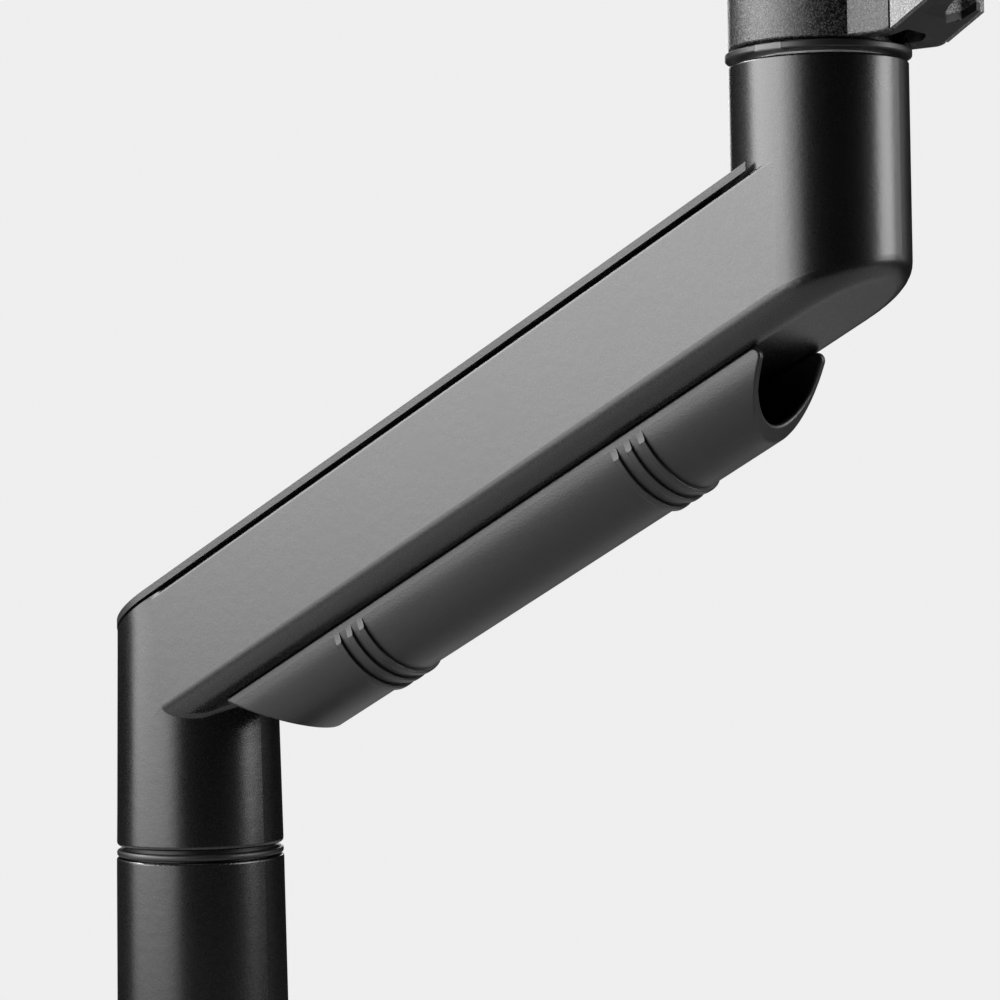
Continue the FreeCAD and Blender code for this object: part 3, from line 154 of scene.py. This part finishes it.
def painted(name, base, rough, grain, painted_glint_grey=0.0, bump=0.12, gloss=0.5, peel=0.12):
    """Paint on metal: orange peel, faint cloudiness, a few dust specks and worn edges.

    grain is the fine texture's scale, speckle the grey of the light flecks painted into the colour as glints
    (painted highlights), peel the orange peel's strength.
    """
    g = Graph(name)
    cloud = g.noise(9.0, 4.0, 0.6)
    ripple = g.noise(330.0, 3.0, 0.6)
    fine = g.noise(grain, 2.0, 0.6)
    near_speck = g.span(g.cells(75.0), 0.010, 0.016, 1.0, 0.0)
    speck_patches = g.span(g.noise(21.0, 1.0), 0.5, 0.52, 0.0, 1.0)
    specks = g.math("MULTIPLY", near_speck, speck_patches)
    dust = g.span(g.noise(34.0, 6.0, 0.7), 0.56, 0.8, 0.0, 0.35)
    colour = g.mix(g.span(cloud, 0.3, 0.7, 0.0, 1.0), grey(base * 0.88), grey(base * 1.12, 0.02))
    colour = g.mix(dust, colour, grey(base * 1.9, -0.01))
    rough_value = g.math("ADD", g.span(cloud, 0.3, 0.7, rough - 0.02, rough + 0.03),
                         g.span(fine, 0.35, 0.65, -0.02, 0.03))
    if painted_glint_grey:
        glints = g.math("MULTIPLY", g.flecks(grain * 0.8, 0.3), 0.12)
        # Light flecks painted into the colour stand in for the glints of the textured paint's grain: painted
        # highlights.
        colour = g.mix(g.flecks(grain, 0.45), colour, grey(painted_glint_grey))
        rough_value = g.math("SUBTRACT", rough_value, glints)
    worn = g.math("MULTIPLY", g.edges(), 0.35)
    colour = g.mix(worn, colour, grey(base * 2.6))
    colour = g.mix(specks, colour, grey(SPECK_GREY))
    normal = g.bump(ripple, peel, 0.0005)
    normal = g.bump(fine, bump, 0.00025, normal)
    return g.finish(Base_Color=colour, Roughness=rough_value, Normal=normal, Specular_IOR_Level=gloss)


def moulded(name, base, rough, grain, bump, sheen=0.0, gloss=0.5):
    """Moulded plastic: a fine texture, slightly uneven gloss and a trace of sheen."""
    g = Graph(name)
    cloud = g.noise(14.0, 3.0, 0.6)
    fine = g.noise(grain, 2.0, 0.6)
    flow = g.noise(40.0, 2.0, 0.5, stretch=(0.3, 1.0, 2.0))
    colour = g.mix(g.span(cloud, 0.3, 0.7, 0.0, 1.0), grey(base * 0.85), grey(base * 1.18))
    worn = g.math("MULTIPLY", g.edges(), 0.3)
    colour = g.mix(worn, colour, grey(base * 2.2))
    rough_value = g.math("ADD", g.span(flow, 0.3, 0.7, rough - 0.03, rough + 0.04),
                         g.span(fine, 0.3, 0.7, -0.02, 0.02))
    normal = g.bump(fine, bump, 0.0002)
    return g.finish(Base_Color=colour, Roughness=rough_value, Normal=normal, Sheen_Weight=sheen,
                    Sheen_Roughness=0.5, Specular_IOR_Level=gloss)


def metal(name, base, rough, scratch=1.0, tint=0.0):
    """Bare or plated steel: drawn lines, a few stains and a trace of oil."""
    g = Graph(name)
    lines = g.noise(220.0, 3.0, 0.7, stretch=(1.0, 1.0, 0.06))
    stain = g.noise(28.0, 5.0, 0.65)
    colour = g.mix(g.span(stain, 0.35, 0.7, 0.0, 1.0), grey(base, tint), grey(base * 0.72, tint - 0.01))
    worn = g.math("MULTIPLY", g.edges(), 0.4)
    colour = g.mix(worn, colour, grey(min(base * 1.4, 0.9), tint))
    rough_value = g.math("ADD", g.span(lines, 0.3, 0.7, rough - 0.05, rough + 0.08),
                         g.span(stain, 0.4, 0.75, 0.0, 0.1))
    normal = g.bump(lines, 0.1 * scratch, 0.0002)
    return g.finish(Base_Color=colour, Roughness=rough_value, Normal=normal, Metallic=1.0)


MATERIALS = {
    "satin_black_paint": painted("satin_black_paint", 0.0012, 0.28, 2300.0, bump=0.05, peel=0.07),
    "textured_black_paint": painted("textured_black_paint", 0.002, 0.29, 3600.0, painted_glint_grey=0.06, bump=0.5,
                                    gloss=0.4, peel=0.02),
    "black_plastic": moulded("black_plastic", 0.004, 0.42, 1800.0, 0.25, sheen=0.015, gloss=0.42),
    "ring_plastic": moulded("ring_plastic", 0.005, 0.42, 1500.0, 0.04, gloss=0.4),
    "grey_plastic": moulded("grey_plastic", 0.06, 0.5, 1700.0, 0.12),
    "bearing_plastic": moulded("bearing_plastic", 0.55, 0.45, 900.0, 0.08),
    "zinc_steel": metal("zinc_steel", 0.24, 0.38, tint=0.006),
    "black_steel": metal("black_steel", 0.07, 0.38, 0.6),
    "spring_steel": metal("spring_steel", 0.34, 0.34, tint=0.01),
    "black_rubber": moulded("black_rubber", 0.018, 0.8, 900.0, 0.4, sheen=0.1),
}

# Two pieces whose finish differs from the others in their slot. The bracket's paint is glossier, and its
# lighter colour and denser light flecks are painted highlight for the light its facets catch.
OWN_FINISH = {
    "pivot_bracket": painted("bracket_paint_painted_highlight", 0.012, 0.30, 3600.0, painted_glint_grey=0.2, bump=0.6, gloss=1.0, peel=0.02),
    "under_cover": moulded("under_cover_plastic", 0.003, 0.5, 2400.0, 0.3, gloss=0.3),
}

for name, node in nodes.items():
    node.data.materials.clear()
    node.data.materials.append(OWN_FINISH.get(name, MATERIALS[SLOTS[name]]))


# ---------------------------------------------------------------- spring


# A copy of the spring's mesh stands in for the spring part, which is hidden.
spring = nodes["lift_spring"]
bpy.context.view_layer.update()
coil = bpy.data.objects.new("lift_spring_coil", spring.data.copy())
coil.matrix_world = spring.matrix_world.copy()
bpy.context.scene.collection.objects.link(coil)
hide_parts("lift_spring")
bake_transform(coil)


# ---------------------------------------------------------------- studio

def sheet_mesh(name, corners, material):
    """A flat stage piece with one face."""
    data = bpy.data.meshes.new(name)
    data.from_pydata(corners, [], [tuple(range(len(corners)))])
    made = bpy.data.objects.new(name, data)
    data.materials.append(material)
    bpy.context.scene.collection.objects.link(made)
    return made


# The middle of the link, where all the lights look.
AIM = Vector((0.10, 0.0, 0.24))


def softbox(name, azimuth, elevation, distance, size, power):
    """An area light in a compass direction from the link, 0 along +X; angles in degrees, power in watts."""
    data = bpy.data.lights.new(name, "AREA")
    data.shape = "RECTANGLE"
    data.size, data.size_y = size
    data.energy = power
    made = bpy.data.objects.new(name, data)
    turn, rise = math.radians(azimuth), math.radians(elevation)
    away = Vector((math.cos(turn) * math.cos(rise), math.sin(turn) * math.cos(rise), math.sin(rise)))
    made.location = AIM + away * distance
    made.rotation_euler = away.to_track_quat("Z", "Y").to_euler()
    made.visible_camera = False
    bpy.context.scene.collection.objects.link(made)


def floor_material():
    """Pale paper that fades out towards the edge of the floor."""
    g = Graph("floor_paper")
    cloud = g.noise(1.3, 3.0, 0.5)
    fine = g.noise(300.0, 2.0, 0.5)
    spread = g.node("ShaderNodeVectorMath", {0: g.place}, operation="LENGTH").outputs["Value"]
    return g.finish(Base_Color=g.mix(g.span(cloud, 0.3, 0.7, 0.0, 1.0), grey(0.46), grey(0.48)),
                    Roughness=0.7, Normal=g.bump(fine, 0.05, 0.0004),
                    Alpha=g.span(spread, 0.55 * FLOOR_RADIUS, FLOOR_RADIUS, 1.0, 0.0))


def left_softboxes(layers=5, distance=1.3, top=1.05):
    """One large window of light that grows brighter upwards, made of overlapping boxes with one top edge."""
    for layer in range(layers):
        share = layer / (layers - 1)
        bottom = -0.17 + 0.52 * share
        width, height = 2.0 - 0.9 * share, top - bottom
        azimuth = -119 - 9 * share
        elevation = math.degrees(math.asin(((bottom + top) / 2 - AIM.z) / distance))
        radiance = 1.75 + 0.75 * share
        power = radiance * math.pi * width * height
        softbox(f"left_softbox_{layer}", azimuth, elevation, distance, (width, height), power)


FLOOR_RADIUS = 1.35
FLOOR_GAP = 0.0205  # the clamp's knob goes down 20 mm as the clamp opens, and stays above the floor
RIM_POINTS = 64
low = min(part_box(name)[0].z for name in nodes)
centre = (Vector(bounds_at_load[0]) + Vector(bounds_at_load[1])) / 2
turns = [math.tau * step / RIM_POINTS for step in range(RIM_POINTS)]
rim = [(FLOOR_RADIUS * math.cos(turn), FLOOR_RADIUS * math.sin(turn), 0) for turn in turns]
floor = sheet_mesh("floor", rim, floor_material())
floor.location = (centre.x, centre.y, low - FLOOR_GAP)

left_softboxes()
softbox("right_softbox", 28, 16, 1.3, (0.55, 0.95), 15)
softbox("right_fill", 54, 16, 1.3, (0.45, 0.95), 1.5)
softbox("top_softbox", -60, 82, 1.6, (1.0, 1.0), 2)
softbox("edge_softbox", -163, 32, 1.2, (0.6, 0.2), 12)
softbox("back_softbox", 125, 18, 1.6, (0.6, 0.8), 5)

# The camera sees pale paper behind the object, and the object reflects a dim room.
ROOM_LIGHT = 0.015
PAPER_GREY = 0.86
world = bpy.data.worlds.new("studio")
bpy.context.scene.world = world
world.use_nodes = True
tree = world.node_tree
surround = tree.nodes["Background"]
surround.inputs["Color"].default_value = grey(1.0)
surround.inputs["Strength"].default_value = ROOM_LIGHT
paper = tree.nodes.new("ShaderNodeBackground")
paper.inputs["Color"].default_value = grey(PAPER_GREY)
seen = tree.nodes.new("ShaderNodeLightPath")
either = tree.nodes.new("ShaderNodeMixShader")
tree.links.new(seen.outputs["Is Camera Ray"], either.inputs["Fac"])
tree.links.new(surround.outputs["Background"], either.inputs[1])
tree.links.new(paper.outputs["Background"], either.inputs[2])
tree.links.new(either.outputs["Shader"], tree.nodes["World Output"].inputs["Surface"])


# ---------------------------------------------------------------- camera

CAMERA_PLACE = (0.57163, -0.65018, 0.21762)
CAMERA_RIGHT = Vector((0.81261, 0.58255, -0.01725))
CAMERA_FORWARD = Vector((-0.58248, 0.81279, 0.00924))
camera_data = bpy.data.cameras.new("camera")
camera_data.sensor_width = 36.0
camera_data.lens = 110.1
camera_data.clip_start = 0.01
camera = bpy.data.objects.new("camera", camera_data)
camera_up = CAMERA_RIGHT.cross(CAMERA_FORWARD)
heading = Matrix((CAMERA_RIGHT, camera_up, -CAMERA_FORWARD)).transposed()
camera.matrix_world = Matrix.Translation(CAMERA_PLACE) @ heading.to_4x4()
bpy.context.scene.collection.objects.link(camera)
bpy.context.scene.camera = camera

bpy.context.scene.view_settings.view_transform = "Standard"
